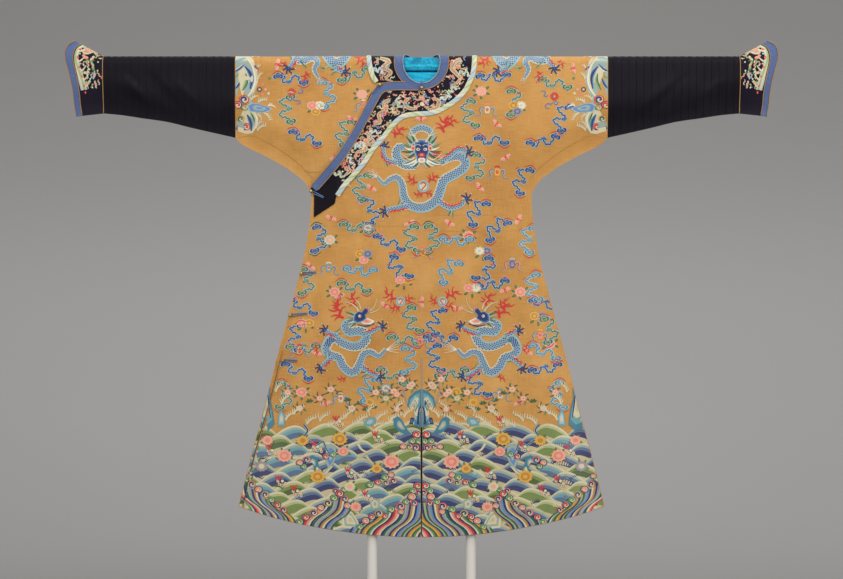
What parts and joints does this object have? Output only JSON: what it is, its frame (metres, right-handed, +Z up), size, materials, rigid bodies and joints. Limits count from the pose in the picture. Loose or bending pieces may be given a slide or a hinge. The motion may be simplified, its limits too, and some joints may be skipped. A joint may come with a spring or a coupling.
{
  "type": "chinese dragon robe on a two-post t-bar stand",
  "caption": "Long-sleeved formal silk robe with a side-crossing front and flared cuffs, spread on a padded crossbar stand with a flat base.",
  "frame": {"origin": "on the floor, under the middle of the stand's base plate", "axes": "+X towards the wearer's left sleeve, -Y towards the front of the robe, +Z up"},
  "size_m": [2.138, 0.4, 1.8172],
  "materials": {
    "gold_silk": "woven silk with satin embroidery",
    "dark_silk": "tucked plain silk",
    "navy_satin": "embroidered satin",
    "blue_band": "ribbed silk band",
    "cream_embroidery": "twisted rope border in satin stitch",
    "turquoise_lining": "bright satin lining",
    "cord": "braided cord",
    "brass": "worn gilt",
    "white_paint": "satin"
  },
  "bodies": {
    "root": {"left_half": "gold_silk", "right_half": "gold_silk", "front_overlap": "gold_silk", "sleeve_left": "dark_silk", "sleeve_right": "dark_silk", "cuff_left": "navy_satin", "cuff_right": "navy_satin", "cuff_band_left": "blue_band", "cuff_band_right": "blue_band", "collar_front": "navy_satin", "collar_back_left": "navy_satin", "collar_back_right": "navy_satin", "collar_end": "dark_silk", "rope_border_front": "cream_embroidery", "rope_border_back": "cream_embroidery", "neck_band": "blue_band", "overlap_band": "blue_band", "neck_lining": "turquoise_lining", "button_neck": "brass", "button_collarbone": "brass", "button_underarm": "brass", "button_side_upper": "brass", "button_side_middle": "brass", "button_side_lower": "brass", "loop_neck": "cord", "loop_collarbone": "cord", "loop_underarm": "cord", "loop_side_upper": "cord", "loop_side_middle": "cord", "loop_side_lower": "cord", "crossbar": "turquoise_lining", "post_left": "white_paint", "post_right": "white_paint", "base_plate": "white_paint"}
  },
  "joints": []
}
